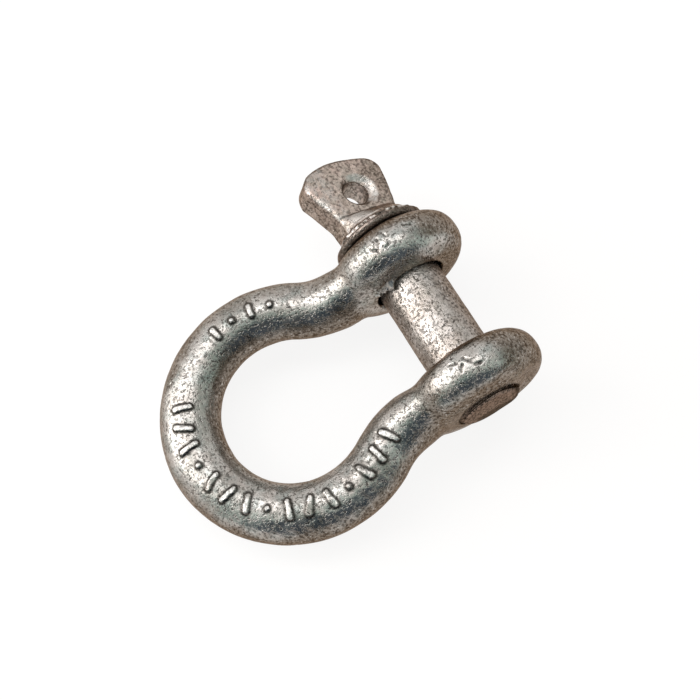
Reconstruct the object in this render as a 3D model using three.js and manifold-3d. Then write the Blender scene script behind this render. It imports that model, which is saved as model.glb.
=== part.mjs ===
// Screw pin bow shackle, forged and galvanised, in the size whose pin is three quarters of an inch thick.
// Everything is first laid out flat: the pin's axis is X with the eye head at +X, the crown of the bow is at +Y,
// and Z stands up out of the bow. The whole shackle is then tilted until it lies on its ears and its crown.
import * as THREE from "three";
import { mergeVertices } from "three/addons/utils/BufferGeometryUtils.js";
import Module from "manifold-3d";

const wasm = await Module();
wasm.setup();

// Bow, in millimetres
const JAW_GAP = 26.8;
const EAR_THICKNESS = 14.6;
const EAR_DIAMETER = 40.0;
const EAR_RIM = 8.0; // width of the rounded rim outside the ear's flat face
const CROWN_CENTRE = 47.0; // from the pin's axis to the centre of the crown's arc
const CROWN_RADIUS = 29.1; // of the bar's centreline
const NECK_RADIUS = 28.2; // of the centreline where the bar bends back towards the ears
const BAR_AT_CROWN = 17.7;
const BAR_AT_SIDES = 16.4;
const EAR_FLARE = 12.5; // half width of the bar where it runs out into the ear
const BORE_CLEARANCE = 0.8; // round the pin in the plain ear
const BORE_CHAMFER = 0.5;

// Screw pin
const PIN_DIAMETER = 19.05;
const PIN_END_PROUD = 1.2; // beyond the outer face of the threaded ear
const PIN_END_CHAMFER = 1.1;
const THREAD_PITCH = 2.54;
const THREAD_DEPTH = 1.3;
const THREAD_CLEARANCE = 0.3; // between the pin's thread and the ear's
const RELIEF_DEPTH = 2.2; // plain mouth of the threaded ear, where the shank runs in
const RELIEF_CLEARANCE = 0.5;
const COLLAR_DIAMETER = 27.9;
const COLLAR_THICKNESS = 2.2;
const COLLAR_STAND = 0.8; // from the plain ear to the underside of the collar
const COLLAR_SHOULDER = 3.1; // height of the sloping top of the collar
const SHOULDER_DIAMETER = 21.6;
const SEAM = 0.3; // between the pin's three solids

// Eye paddle on the pin's head
const PADDLE_TURN = 28.3; // degrees about the pin's axis from the plane of the bow
const PADDLE_LEAN = 1.5; // degrees, in the paddle's own plane
const PADDLE_OFFSET = 1.2; // of the forging from the pin's axis, towards the crown
const PADDLE_THICKNESS = 8.8;
const PADDLE_WIDTH = 26.7;
const PADDLE_LENGTH = 29.5; // from the ear's face to the tip
const PADDLE_WAIST = 20.0;
const PADDLE_CORNER = 5.1;
const PADDLE_TOP_SLOPE = 22.5; // degrees, where the rounded top meets the corners
const PADDLE_EDGE = 1.3;
const WAIST_HEIGHT = 9.8; // from the ear's face
const EYE_DIAMETER = 8.2;
const EYE_HEIGHT = 17.2; // from the ear's face
const EYE_OFFSET = 0.7;
const EYE_SINK = 0.9; // depth of the countersink
const EYE_SINK_DIAMETER = 11.0;

// Raised forging marks on the bow's upper side, plain bars and dots
const MARK_LENGTH = 6.0;
const MARK_WIDTH = 1.8;
const MARK_HEIGHT = 0.6;
const MARK_SPACING = 5.8;
const LONG_ROW_MARKS = 15;
const LONG_ROW_START = 15.0; // along the bar from the crown's apex, on the head's side
const SHORT_ROW_MARKS = 4;
const SHORT_ROW_START = 38.5;

// Facets
const TURN_SEGMENTS = 32;
const BAR_SEGMENTS = 24;
const BAR_STEP = 3.6;

const pinRadius = PIN_DIAMETER / 2;
const earRadius = EAR_DIAMETER / 2;
const earFlatRadius = earRadius - EAR_RIM;
const jawFace = JAW_GAP / 2;
const earFace = jawFace + EAR_THICKNESS;
const earMiddle = jawFace + EAR_THICKNESS / 2;
const boreRadius = pinRadius + BORE_CLEARANCE;
const threadMajor = pinRadius - 0.15;
const threadMinor = threadMajor - THREAD_DEPTH;
const pinEnd = -earFace - PIN_END_PROUD;
const collarFace = earFace + COLLAR_STAND;
const collarTop = collarFace + COLLAR_THICKNESS;
const shoulderTop = collarTop + COLLAR_SHOULDER;
const threadSeam = -jawFace - RELIEF_DEPTH + 0.5;

// A geometry as a solid: shared vertices merged, flat triangles dropped, faces turned outwards.
function solidOf(geometry) {
  const bare = geometry.clone();
  bare.deleteAttribute("normal");
  bare.deleteAttribute("uv");
  const merged = mergeVertices(bare, 1e-4);
  const place = merged.getAttribute("position");
  const index = merged.getIndex().array;
  const a = new THREE.Vector3();
  const b = new THREE.Vector3();
  const c = new THREE.Vector3();
  const triangles = [];
  let volume = 0;
  for (let i = 0; i < index.length; i += 3) {
    const [p, q, r] = [index[i], index[i + 1], index[i + 2]];
    if (p === q || q === r || r === p) continue;
    triangles.push(p, q, r);
    a.fromBufferAttribute(place, p);
    b.fromBufferAttribute(place, q);
    c.fromBufferAttribute(place, r);
    volume += a.dot(b.cross(c));
  }
  if (volume < 0) triangles.reverse();
  const mesh = new wasm.Mesh({
    numProp: 3,
    vertProperties: new Float32Array(place.array),
    triVerts: new Uint32Array(triangles),
  });
  return new wasm.Manifold(mesh);
}

// A solid back as a geometry.
function geometryOf(solid) {
  const mesh = solid.getMesh();
  const geometry = new THREE.BufferGeometry();
  geometry.setAttribute("position", new THREE.BufferAttribute(new Float32Array(mesh.vertProperties), 3));
  geometry.setIndex(new THREE.BufferAttribute(new Uint32Array(mesh.triVerts), 1));
  geometry.computeVertexNormals();
  return geometry;
}

// A body of revolution about the pin's axis, from [x, radius] pairs that start and end on the axis.
function turned(profile) {
  const points = profile.map(([x, radius]) => new THREE.Vector2(radius, x));
  const geometry = new THREE.LatheGeometry(points, TURN_SEGMENTS);
  geometry.rotateZ(-Math.PI / 2);
  return solidOf(geometry);
}

// A closed skin over a row of rings with the same number of points, with a flat fan at each end.
function lofted(rings) {
  const count = rings[0].length;
  const points = rings.flat();
  const index = [];
  for (let i = 0; i + 1 < rings.length; i += 1) {
    for (let j = 0; j < count; j += 1) {
      const k = (j + 1) % count;
      const low = i * count;
      const high = low + count;
      index.push(low + j, low + k, high + k, low + j, high + k, high + j);
    }
  }
  for (const [start, turn] of [[0, 1], [(rings.length - 1) * count, -1]]) {
    const middle = new THREE.Vector3();
    for (let j = 0; j < count; j += 1) middle.addScaledVector(points[start + j], 1 / count);
    points.push(middle);
    for (let j = 0; j < count; j += 1) {
      const pair = [start + ((j + 1) % count), start + j];
      if (turn < 0) pair.reverse();
      index.push(points.length - 1, ...pair);
    }
  }
  const geometry = new THREE.BufferGeometry().setFromPoints(points);
  geometry.setIndex(index);
  return solidOf(geometry);
}

// A ring that stands square to X: an ellipse at a squareness of 2, and flatter sided above it.
function section(x, shift, halfWidth, halfHeight, squareness, count) {
  const ring = [];
  for (let j = 0; j < count; j += 1) {
    const angle = (2 * Math.PI * j) / count;
    const [c, s] = [Math.cos(angle), Math.sin(angle)];
    const across = shift + halfWidth * Math.sign(c) * Math.abs(c) ** (2 / squareness);
    const up = halfHeight * Math.sign(s) * Math.abs(s) ** (2 / squareness);
    ring.push(new THREE.Vector3(x, across, up));
  }
  return ring;
}

// A right-handed screw thread about X from start to end, trimmed square.
// Every turn has the same edges, given as [share of the pitch, radius], and each edge is one long helix.
function threaded(start, end, minor, major) {
  const edges = [[0.07, minor], [0.38, major], [0.62, major], [0.93, minor]];
  const turns = Math.ceil((end - start) / THREAD_PITCH) + 2;
  const firstTurn = Math.floor(start / THREAD_PITCH) - 1;
  const rows = turns * edges.length;
  const points = [];
  for (let row = 0; row <= rows; row += 1) {
    const [share, radius] = edges[row % edges.length];
    const turn = firstTurn + Math.floor(row / edges.length);
    for (let j = 0; j < TURN_SEGMENTS; j += 1) {
      const angle = (2 * Math.PI * j) / TURN_SEGMENTS;
      const x = THREAD_PITCH * (turn + share + j / TURN_SEGMENTS);
      points.push(new THREE.Vector3(x, -radius * Math.sin(angle), radius * Math.cos(angle)));
    }
  }
  // After a full turn a helix goes on as the same edge of the next turn.
  const at = (row, j) => (j < TURN_SEGMENTS ? row * TURN_SEGMENTS + j : (row + edges.length) * TURN_SEGMENTS);
  const index = [];
  for (let row = 0; row < rows; row += 1) {
    for (let j = 0; j < TURN_SEGMENTS; j += 1) {
      if (j === TURN_SEGMENTS - 1 && row + 1 + edges.length > rows) continue;
      index.push(at(row, j), at(row, j + 1), at(row + 1, j + 1));
      index.push(at(row, j), at(row + 1, j + 1), at(row + 1, j));
    }
  }
  // Each end is a ramp of one turn and a step across the edges, closed by a fan to the axis.
  const low = [];
  const high = [];
  for (let j = 0; j <= TURN_SEGMENTS; j += 1) low.push(at(0, j));
  for (let k = edges.length - 1; k > 0; k -= 1) low.push(at(k, 0));
  for (let j = TURN_SEGMENTS - 1; j >= 0; j -= 1) high.push(at(rows, j));
  for (let k = edges.length; k > 0; k -= 1) high.push(at(rows - k, TURN_SEGMENTS - 1));
  for (const [rim, turn] of [[low, firstTurn], [high, firstTurn + turns]]) {
    points.push(new THREE.Vector3(THREAD_PITCH * (turn + 0.5), 0, 0));
    rim.forEach((corner, k) => index.push(points.length - 1, rim[(k + 1) % rim.length], corner));
  }
  const geometry = new THREE.BufferGeometry().setFromPoints(points);
  geometry.setIndex(index);
  return solidOf(geometry).intersect(turned([[start, 0], [start, major + 1], [end, major + 1], [end, 0]]));
}

// Centreline of the bar, from the crown's apex (0) along one leg to its end. side is 1 towards the head.
const bendReach = earMiddle + NECK_RADIUS;
const legTop = CROWN_CENTRE - Math.sqrt((CROWN_RADIUS + NECK_RADIUS) ** 2 - bendReach ** 2);
const bendAngle = Math.atan2(CROWN_CENTRE - legTop, bendReach);
const crownLength = CROWN_RADIUS * (Math.PI / 2 + bendAngle);
const bendLength = NECK_RADIUS * bendAngle;
const legEnd = earRadius * 0.2;
const legLength = crownLength + bendLength + legTop - legEnd;

function barAt(side, along) {
  if (along <= crownLength) {
    const angle = along / CROWN_RADIUS;
    const outward = new THREE.Vector3(side * Math.sin(angle), Math.cos(angle), 0);
    const centre = new THREE.Vector3(0, CROWN_CENTRE, 0).addScaledVector(outward, CROWN_RADIUS);
    return { centre, outward };
  }
  if (along <= crownLength + bendLength) {
    const left = bendAngle - (along - crownLength) / NECK_RADIUS;
    const outward = new THREE.Vector3(side * Math.cos(left), -Math.sin(left), 0);
    const centre = new THREE.Vector3(side * bendReach, legTop, 0).addScaledVector(outward, -NECK_RADIUS);
    return { centre, outward };
  }
  const down = along - crownLength - bendLength;
  return {
    centre: new THREE.Vector3(side * earMiddle, legTop - down, 0),
    outward: new THREE.Vector3(side, 0, 0),
  };
}

// Half sizes of the bar: a little thicker at the crown, flattened and flared where it runs out into the ear.
function barSize(along) {
  const quarter = (CROWN_RADIUS * Math.PI) / 2;
  const round = THREE.MathUtils.lerp(BAR_AT_CROWN, BAR_AT_SIDES, Math.min(along / quarter, 1)) / 2;
  const height = barAt(1, along).centre.y;
  const flatten = along > crownLength ? 1 - THREE.MathUtils.smoothstep(height, 0.55 * earRadius, 1.05 * earRadius) : 0;
  const flare = along > crownLength ? 1 - THREE.MathUtils.smoothstep(height, 0.55 * earRadius, 1.5 * earRadius) : 0;
  return {
    across: THREE.MathUtils.lerp(round, Math.min(round, EAR_THICKNESS / 2 - 0.3), flatten),
    up: THREE.MathUtils.lerp(round, EAR_FLARE, flare),
  };
}

// A point on or above the bar's skin. turn is measured from the outward side towards +Z.
function skinPoint(side, along, turn, above) {
  const { centre, outward } = barAt(side, along);
  const { across, up } = barSize(along);
  return centre
    .clone()
    .addScaledVector(outward, (across + above) * Math.cos(turn))
    .add(new THREE.Vector3(0, 0, (up + above) * Math.sin(turn)));
}

function bar() {
  const rings = [];
  const steps = Math.ceil(legLength / BAR_STEP);
  for (let i = -steps; i <= steps; i += 1) {
    const side = i < 0 ? -1 : 1;
    const along = (Math.abs(i) * legLength) / steps;
    const ring = [];
    for (let j = 0; j < BAR_SEGMENTS; j += 1) {
      ring.push(skinPoint(side, along, (2 * Math.PI * j) / BAR_SEGMENTS, 0));
    }
    rings.push(ring);
  }
  return lofted(rings);
}

// An ear: a disc about the pin's axis whose rim is rounded from face to face.
function ear(side) {
  const steps = 5;
  const profile = [[side * (earMiddle - EAR_THICKNESS / 2), 0]];
  for (let i = -steps; i <= steps; i += 1) {
    const angle = (Math.PI / 2) * (i / steps);
    const x = (EAR_THICKNESS / 2) * Math.sign(angle) * Math.abs(Math.sin(angle)) ** 0.89;
    const radius = earFlatRadius + EAR_RIM * Math.max(Math.cos(angle), 0) ** 0.89;
    profile.push([side * (earMiddle + x), radius]);
  }
  profile.push([side * (earMiddle + EAR_THICKNESS / 2), 0]);
  return turned(profile);
}

// A raised mark on the bar's upper side: a bar with rounded ends, or a dot when its length is its width.
function mark(place, length, lean) {
  const sizes = barSize(Math.abs(place));
  const reach = (sizes.across + sizes.up) / 2;
  const [c, s] = [Math.cos(lean), Math.sin(lean)];
  const count = 10;
  const layers = [[-1.0, 0], [0.4 * MARK_HEIGHT, 0], [MARK_HEIGHT, 0.35]];
  const rings = layers.map(([above, inset]) => {
    const ring = [];
    for (let j = 0; j < count; j += 1) {
      const angle = (2 * Math.PI * (j + 0.5)) / count;
      const half = MARK_WIDTH / 2 - inset;
      const run = half * Math.sin(angle);
      const rise = half * Math.cos(angle) + (Math.sign(Math.cos(angle)) * (length - MARK_WIDTH)) / 2;
      const along = place + run * c - rise * s;
      const turn = Math.PI / 2 + (run * s + rise * c) / reach;
      ring.push(skinPoint(Math.sign(along) || 1, Math.abs(along), turn, above));
    }
    return ring;
  });
  return lofted(rings);
}

// The long row runs round the crown and down the threaded side, the short one stands on the head's side.
function marks() {
  const found = [];
  for (let i = 0; i < LONG_ROW_MARKS; i += 1) {
    const place = LONG_ROW_START - i * MARK_SPACING;
    const lean = THREE.MathUtils.degToRad(i % 2 ? 16 : -12);
    found.push(i % 4 === 3 ? mark(place, MARK_WIDTH, 0) : mark(place, MARK_LENGTH, lean));
  }
  for (let i = 0; i < SHORT_ROW_MARKS; i += 1) {
    found.push(mark(SHORT_ROW_START + i * MARK_SPACING, i % 2 ? MARK_WIDTH : 0.75 * MARK_LENGTH, 0));
  }
  return found;
}

function bow() {
  let solid = bar().add(ear(1)).add(ear(-1));
  for (const raised of marks()) solid = solid.add(raised);
  const beyond = earFace + 5;
  const plainBore = turned([
    [jawFace - 1, 0],
    [jawFace - 1, boreRadius + 1 + BORE_CHAMFER],
    [jawFace + BORE_CHAMFER, boreRadius],
    [earFace - BORE_CHAMFER, boreRadius],
    [earFace + 1, boreRadius + 1 + BORE_CHAMFER],
    [earFace + 1, 0],
  ]);
  const nutMinor = threadMinor + THREAD_CLEARANCE;
  const nutMajor = threadMajor + THREAD_CLEARANCE;
  const mouths = turned([
    [-jawFace + 1, 0],
    [-jawFace + 1, pinRadius + RELIEF_CLEARANCE],
    [-jawFace - RELIEF_DEPTH, pinRadius + RELIEF_CLEARANCE],
    [-jawFace - RELIEF_DEPTH - 1.2, nutMinor],
    [-earFace + (nutMajor - nutMinor), nutMinor],
    [-earFace, nutMajor],
    [-earFace - 1, nutMajor + 1],
    [-earFace - 1, 0],
  ]);
  return solid
    .subtract(plainBore)
    .subtract(threaded(-beyond, -jawFace - RELIEF_DEPTH, nutMinor, nutMajor))
    .subtract(mouths);
}

function pinShank() {
  const lead = 0.6;
  return turned([
    [threadSeam, 0],
    [threadSeam, pinRadius - lead],
    [threadSeam + lead, pinRadius],
    [collarFace - SEAM, pinRadius],
    [collarFace - SEAM, 0],
  ]);
}

function pinThread() {
  const start = threadSeam - SEAM;
  const runOut = start - THREAD_DEPTH;
  const trim = turned([
    [pinEnd, 0],
    [pinEnd, threadMajor - PIN_END_CHAMFER],
    [pinEnd + PIN_END_CHAMFER, threadMajor],
    [runOut, threadMajor],
    [start, threadMinor],
    [start, 0],
  ]);
  return threaded(pinEnd - 1, start + 1, threadMinor, threadMajor + 0.01).intersect(trim);
}

// Outline of the eye paddle, with its width along x and its height from the ear's face along y.
function paddleShape() {
  const half = PADDLE_WIDTH / 2;
  const slope = THREE.MathUtils.degToRad(PADDLE_TOP_SLOPE);
  const sideSlope = THREE.MathUtils.degToRad(6);
  const endWidth = half - PADDLE_CORNER + PADDLE_CORNER * Math.sin(slope);
  const cornerHeight = PADDLE_LENGTH - (endWidth * Math.tan(slope)) / 2 - PADDLE_CORNER * Math.cos(slope);
  const sideTop = new THREE.Vector2(
    half - PADDLE_CORNER + PADDLE_CORNER * Math.cos(sideSlope),
    cornerHeight - PADDLE_CORNER * Math.sin(sideSlope),
  );
  const waist = new THREE.Vector2(PADDLE_WAIST / 2, WAIST_HEIGHT);
  const bulge = waist.clone().add(sideTop).multiplyScalar(0.5).add(new THREE.Vector2(1.0, 0));
  const topControl = cornerHeight + PADDLE_CORNER * Math.cos(slope) + endWidth * Math.tan(slope);
  const foot = COLLAR_STAND + COLLAR_THICKNESS / 2;
  const shape = new THREE.Shape();
  shape.moveTo(-waist.x, foot);
  shape.lineTo(waist.x, foot);
  shape.lineTo(waist.x, waist.y);
  shape.quadraticCurveTo(bulge.x, bulge.y, sideTop.x, sideTop.y);
  shape.absarc(half - PADDLE_CORNER, cornerHeight, PADDLE_CORNER, -sideSlope, Math.PI / 2 - slope, false);
  shape.quadraticCurveTo(0, topControl, -endWidth, cornerHeight + PADDLE_CORNER * Math.cos(slope));
  shape.absarc(-half + PADDLE_CORNER, cornerHeight, PADDLE_CORNER, Math.PI / 2 + slope, Math.PI + sideSlope, false);
  shape.quadraticCurveTo(-bulge.x, bulge.y, -waist.x, waist.y);
  shape.closePath();
  return shape;
}

function pinHead() {
  const collar = turned([
    [collarFace, 0],
    [collarFace, COLLAR_DIAMETER / 2 - 0.5],
    [collarFace + 0.5, COLLAR_DIAMETER / 2],
    [collarTop, COLLAR_DIAMETER / 2],
    [shoulderTop, SHOULDER_DIAMETER / 2],
    [shoulderTop, 0],
  ]);
  const plate = new THREE.ExtrudeGeometry(paddleShape(), {
    depth: PADDLE_THICKNESS - 2 * PADDLE_EDGE,
    bevelEnabled: true,
    bevelThickness: PADDLE_EDGE,
    bevelSize: PADDLE_EDGE,
    bevelOffset: -PADDLE_EDGE,
    bevelSegments: 3,
    curveSegments: 8,
  });
  plate.translate(0, 0, PADDLE_EDGE - PADDLE_THICKNESS / 2);
  const eyeProfile = [
    [0, -PADDLE_THICKNESS / 2 - 1],
    [EYE_SINK_DIAMETER / 2 + 1, -PADDLE_THICKNESS / 2 - 1],
    [EYE_SINK_DIAMETER / 2, -PADDLE_THICKNESS / 2],
    [EYE_DIAMETER / 2, -PADDLE_THICKNESS / 2 + EYE_SINK],
    [EYE_DIAMETER / 2, PADDLE_THICKNESS / 2 - EYE_SINK],
    [EYE_SINK_DIAMETER / 2, PADDLE_THICKNESS / 2],
    [EYE_SINK_DIAMETER / 2 + 1, PADDLE_THICKNESS / 2 + 1],
    [0, PADDLE_THICKNESS / 2 + 1],
  ];
  const eye = new THREE.LatheGeometry(eyeProfile.map(([radius, up]) => new THREE.Vector2(radius, up)), 32);
  eye.rotateX(Math.PI / 2);
  eye.translate(EYE_OFFSET - PADDLE_OFFSET, EYE_HEIGHT, 0);
  // The outline's width goes to Y and its height to X, leaning and set off before it is turned about the pin.
  const stand = new THREE.Matrix4().makeBasis(
    new THREE.Vector3(0, 1, 0),
    new THREE.Vector3(1, 0, 0),
    new THREE.Vector3(0, 0, -1),
  );
  stand.setPosition(earFace, PADDLE_OFFSET, 0);
  const lean = new THREE.Matrix4()
    .makeTranslation(shoulderTop, PADDLE_OFFSET, 0)
    .multiply(new THREE.Matrix4().makeRotationZ(THREE.MathUtils.degToRad(PADDLE_LEAN)))
    .multiply(new THREE.Matrix4().makeTranslation(-shoulderTop, -PADDLE_OFFSET, 0));
  plate.applyMatrix4(stand).applyMatrix4(lean);
  eye.applyMatrix4(stand);
  const waist = earFace + WAIST_HEIGHT;
  const rise = waist - shoulderTop;
  const half = PADDLE_THICKNESS / 2;
  const topRadius = SHOULDER_DIAMETER / 2;
  const waistRadius = PADDLE_WAIST / 2;
  const neck = lofted([
    section(collarTop, 0, topRadius, topRadius, 2, 36),
    section(shoulderTop - COLLAR_SHOULDER * 0.39, 0, topRadius, topRadius * 0.93, 2, 36),
    section(shoulderTop + rise * 0.11, 0.3 * PADDLE_OFFSET, topRadius * 0.97, half * 1.75, 2.2, 36),
    section(shoulderTop + rise * 0.51, 0.8 * PADDLE_OFFSET, waistRadius * 1.01, half * 1.32, 2.6, 36),
    section(waist, PADDLE_OFFSET, waistRadius * 1.005, half * 1.08, 3, 36),
    section(waist + rise * 0.54, PADDLE_OFFSET, waistRadius * 0.97, half * 0.9, 3.2, 36),
  ]);
  const turn = new THREE.Matrix4().makeRotationX(THREE.MathUtils.degToRad(PADDLE_TURN));
  return { collar, plate: solidOf(plate), neck, eye: solidOf(eye), turn };
}

function headGeometry() {
  const { collar, plate, neck, eye, turn } = pinHead();
  const geometry = geometryOf(plate.add(neck).subtract(eye));
  geometry.applyMatrix4(turn);
  return geometryOf(solidOf(geometry).add(collar));
}

function steel(color, roughness) {
  return new THREE.MeshStandardMaterial({ color, roughness, metalness: 0.85 });
}

function piece(name, geometry, material) {
  const mesh = new THREE.Mesh(geometry, material);
  mesh.name = name;
  return mesh;
}

const flat = new THREE.Group();
flat.add(piece("bow", geometryOf(bow()), steel(0x8f918c, 0.45)));
flat.add(piece("pin_head", headGeometry(), steel(0xa09890, 0.55)));
flat.add(piece("pin_shank", geometryOf(pinShank()), steel(0xb5aca6, 0.5)));
flat.add(piece("pin_thread", geometryOf(pinThread()), steel(0x97908a, 0.55)));

// Lying on a bench: the ears and the crown's bar touch the same level, so the crown dips.
const crownHeight = CROWN_CENTRE + CROWN_RADIUS;
const dip = Math.asin((earRadius - BAR_AT_CROWN / 2) / crownHeight);
flat.rotation.x = -dip;
flat.position.z = earRadius;

// The origin is at the bottom centre of the whole shackle.
const shackle = new THREE.Group();
shackle.add(flat);
shackle.updateMatrixWorld(true);
const box = new THREE.Box3().setFromObject(shackle, true);
shackle.position.set(-(box.min.x + box.max.x) / 2, -(box.min.y + box.max.y) / 2, -box.min.z);

export default shackle;
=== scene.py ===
import math

import bpy
import numpy as np
from mathutils import Matrix, Vector
from mathutils.kdtree import KDTree


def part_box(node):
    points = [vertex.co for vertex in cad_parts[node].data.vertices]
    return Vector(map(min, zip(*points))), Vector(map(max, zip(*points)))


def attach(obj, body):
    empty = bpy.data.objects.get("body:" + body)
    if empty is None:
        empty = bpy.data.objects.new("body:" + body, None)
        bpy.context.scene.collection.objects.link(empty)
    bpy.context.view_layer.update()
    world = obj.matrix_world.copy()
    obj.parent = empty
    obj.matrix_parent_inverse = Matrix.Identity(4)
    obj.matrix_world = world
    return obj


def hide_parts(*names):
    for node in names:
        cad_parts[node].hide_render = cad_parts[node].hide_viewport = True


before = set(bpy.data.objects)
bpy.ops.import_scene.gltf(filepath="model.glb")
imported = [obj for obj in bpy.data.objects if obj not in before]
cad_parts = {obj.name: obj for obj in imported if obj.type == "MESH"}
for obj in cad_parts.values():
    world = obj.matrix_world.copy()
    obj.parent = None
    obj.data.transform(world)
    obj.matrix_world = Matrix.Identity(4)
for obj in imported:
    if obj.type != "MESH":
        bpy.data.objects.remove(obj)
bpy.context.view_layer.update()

# Bow
JAW_GAP = 26.8
EAR_THICKNESS = 14.6
EAR_DIAMETER = 40.0
EAR_RIM = 8.0
EAR_ROUNDNESS = 0.89
CROWN_CENTRE = 47.0
CROWN_RADIUS = 29.1
NECK_RADIUS = 28.2
BAR_AT_CROWN = 17.7
BAR_AT_SIDES = 16.4
EAR_FLARE = 12.5
LEG_END = 4.0
BORE_CLEARANCE = 0.8
BORE_CHAMFER = 0.5
# Screw pin
PIN_DIAMETER = 19.05
PIN_END_PROUD = 1.2
PIN_END_CHAMFER = 1.1
PIN_END_SLANT = 0.7
PIN_END_DOME = 0.0016
THREAD_PITCH = 2.54
THREAD_DEPTH = 1.3
THREAD_ALLOWANCE = 0.15
THREAD_CLEARANCE = 0.3
RELIEF_DEPTH = 2.2
RELIEF_CLEARANCE = 0.5
SEAM_IN_RELIEF = 0.5
SHANK_CHAMFER = 0.6
COLLAR_DIAMETER = 27.9
COLLAR_THICKNESS = 2.2
COLLAR_STAND = 0.8
COLLAR_SHOULDER = 3.1
SHOULDER_DIAMETER = 21.6
SEAM = 0.3
# Eye paddle
PADDLE_TURN = 28.3
PADDLE_LEAN = 1.5
PADDLE_OFFSET = 1.2
PADDLE_THICKNESS = 8.8
PADDLE_WIDTH = 26.7
PADDLE_LENGTH = 29.5
PADDLE_WAIST = 20.0
PADDLE_CORNER = 5.1
PADDLE_TOP_SLOPE = 22.5
PADDLE_SIDE_SLOPE = 6.0
PADDLE_EDGE = 1.3
WAIST_HEIGHT = 9.8
EYE_DIAMETER = 8.2
EYE_HEIGHT = 17.2
EYE_OFFSET = 0.7
DISH_DEPTH = 1.2
DISH_FLARE = 2.6
DISH_SHIFT = (0.1, -0.8)
# Raised marks
MARK_LENGTH = 6.0
MARK_WIDTH = 1.8
MARK_HEIGHT = 0.6
MARK_SPACING = 5.8
MARK_LEANS = (-12, 16)
LONG_ROW_MARKS = 15
LONG_ROW_START = 15.0
SHORT_ROW_MARKS = 4
SHORT_ROW_START = 38.5
SHORT_ROW_LENGTH = 4.5
# Wear
LOOP_START = 14.0
LOOP_BLEND = 6.0
BURR_HEIGHT = 1.7
BURR_TURN = 0.9
NICK_DEPTH = 0.28
RIM_FALL = 1.5
RIM_FALL_RADIUS = 14.0
RIM_FALL_SPREAD = 2.2
BEAD_PLACE = 1.3
BEAD_SPREAD = 0.6
BEAD_ROUGHNESS = 0.35

# Small cuts on top of the ears: place along the pin, place across it, length, and turn in degrees
EAR_NICKS = [
    (-19.4, 0.6, 2.6, 35),
    (-20.6, 2.8, 1.8, -40),
    (-18.2, 4.4, 1.6, 70),
    (-21.8, -1.6, 2.0, 80),
    (21.5, 3.4, 2.4, -25),
    (20.1, 5.0, 1.6, 50),
    (22.8, 0.8, 1.8, 15),
    (19.2, 1.6, 1.4, -70),
    (22.0, -6.2, 2.2, 60),
]

# The collar's edge: distance past its face, then past its top, each with the skin's depth below the rim
COLLAR_FACE = [(0, 1.8), (0.25, 0.9), (0.7, 0.35), (1.3, 0)]
COLLAR_TOP = [(-0.2, 0), (0.1, 0.35), (0.35, 1.1), (0.6, 1.75), (0.9, 1.95), (1.2, 1.75), (1.6, 1.85)]
COLLAR_TOP += [(1.9, 2.35), (2.4, 2.9)]

# Fineness of the skins
BOW_VOXEL = 0.36
HEAD_VOXEL = 0.24
BAR_STEP = 0.8
SHANK_STEP = 0.35
PLACES_ALONG_BAR = 1401

pin_radius = PIN_DIAMETER / 2
ear_radius = EAR_DIAMETER / 2
ear_flat = ear_radius - EAR_RIM
jaw_face = JAW_GAP / 2
ear_face = jaw_face + EAR_THICKNESS
ear_middle = jaw_face + EAR_THICKNESS / 2
bore_radius = pin_radius + BORE_CLEARANCE
thread_major = pin_radius - THREAD_ALLOWANCE
thread_minor = thread_major - THREAD_DEPTH
nut_major = thread_major + THREAD_CLEARANCE
nut_minor = thread_minor + THREAD_CLEARANCE
pin_end = -ear_face - PIN_END_PROUD
collar_face = ear_face + COLLAR_STAND
collar_top = collar_face + COLLAR_THICKNESS
shoulder_top = collar_top + COLLAR_SHOULDER
thread_seam = -jaw_face - RELIEF_DEPTH + SEAM_IN_RELIEF
rim_radius = COLLAR_DIAMETER / 2
half_plate = PADDLE_THICKNESS / 2
eye_radius = EYE_DIAMETER / 2
waist = ear_face + WAIST_HEIGHT

# The paddle's turn about the pin, as it lies in the photograph
paddle_turn = math.radians(PADDLE_TURN)
about_pin = np.array(
    [
        [1, 0, 0],
        [0, math.cos(paddle_turn), -math.sin(paddle_turn)],
        [0, math.sin(paddle_turn), math.cos(paddle_turn)],
    ]
)

# The flat layout's place in the frame, read from the shank's box
dip = math.asin((ear_radius - BAR_AT_CROWN / 2) / (CROWN_CENTRE + CROWN_RADIUS))
shank_low, shank_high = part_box("pin_shank")
axis_point = np.array(
    [
        shank_low.x * 1000 - thread_seam,
        (shank_low.y + shank_high.y) * 500,
        (shank_low.z + shank_high.z) * 500,
    ]
)
tilt = np.array(
    [
        [1, 0, 0],
        [0, math.cos(dip), math.sin(dip)],
        [0, -math.sin(dip), math.cos(dip)],
    ]
)


def to_row(points):
    """Flat layout in millimetres to the frame in metres."""
    return (np.asarray(points, float) @ tilt.T + axis_point) / 1000


# Shares from 0 to 1, for blending one form or shade into another
def smoothstep(x, low, high):
    """0 up to low, rising smoothly to 1 at high."""
    t = np.clip((np.asarray(x, float) - low) / (high - low), 0, 1)
    return t * t * (3 - 2 * t)


def fading(x, low, high):
    """1 up to low, falling smoothly to 0 at high."""
    return 1 - smoothstep(x, low, high)


def bell(x, centre, spread):
    """1 at the centre, falling to 0 on both sides."""
    return np.exp(-(((x - centre) / spread) ** 2))


def from_axis(points):
    """Distance of points from the pin's axis."""
    return np.hypot(points[:, 1], points[:, 2])


# Camera, at the photograph's viewing angle
CAMERA_PLACE = Vector((-0.11130, 0.04644, 0.32875))
LENS = 61.29
RIGHT = Vector((-0.50053, -0.86544, -0.02149)).normalized()
BACK = Vector((-0.32083, 0.16238, 0.93311)).normalized()
UP = BACK.cross(RIGHT).normalized()
RIGHT = UP.cross(BACK).normalized()


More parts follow.
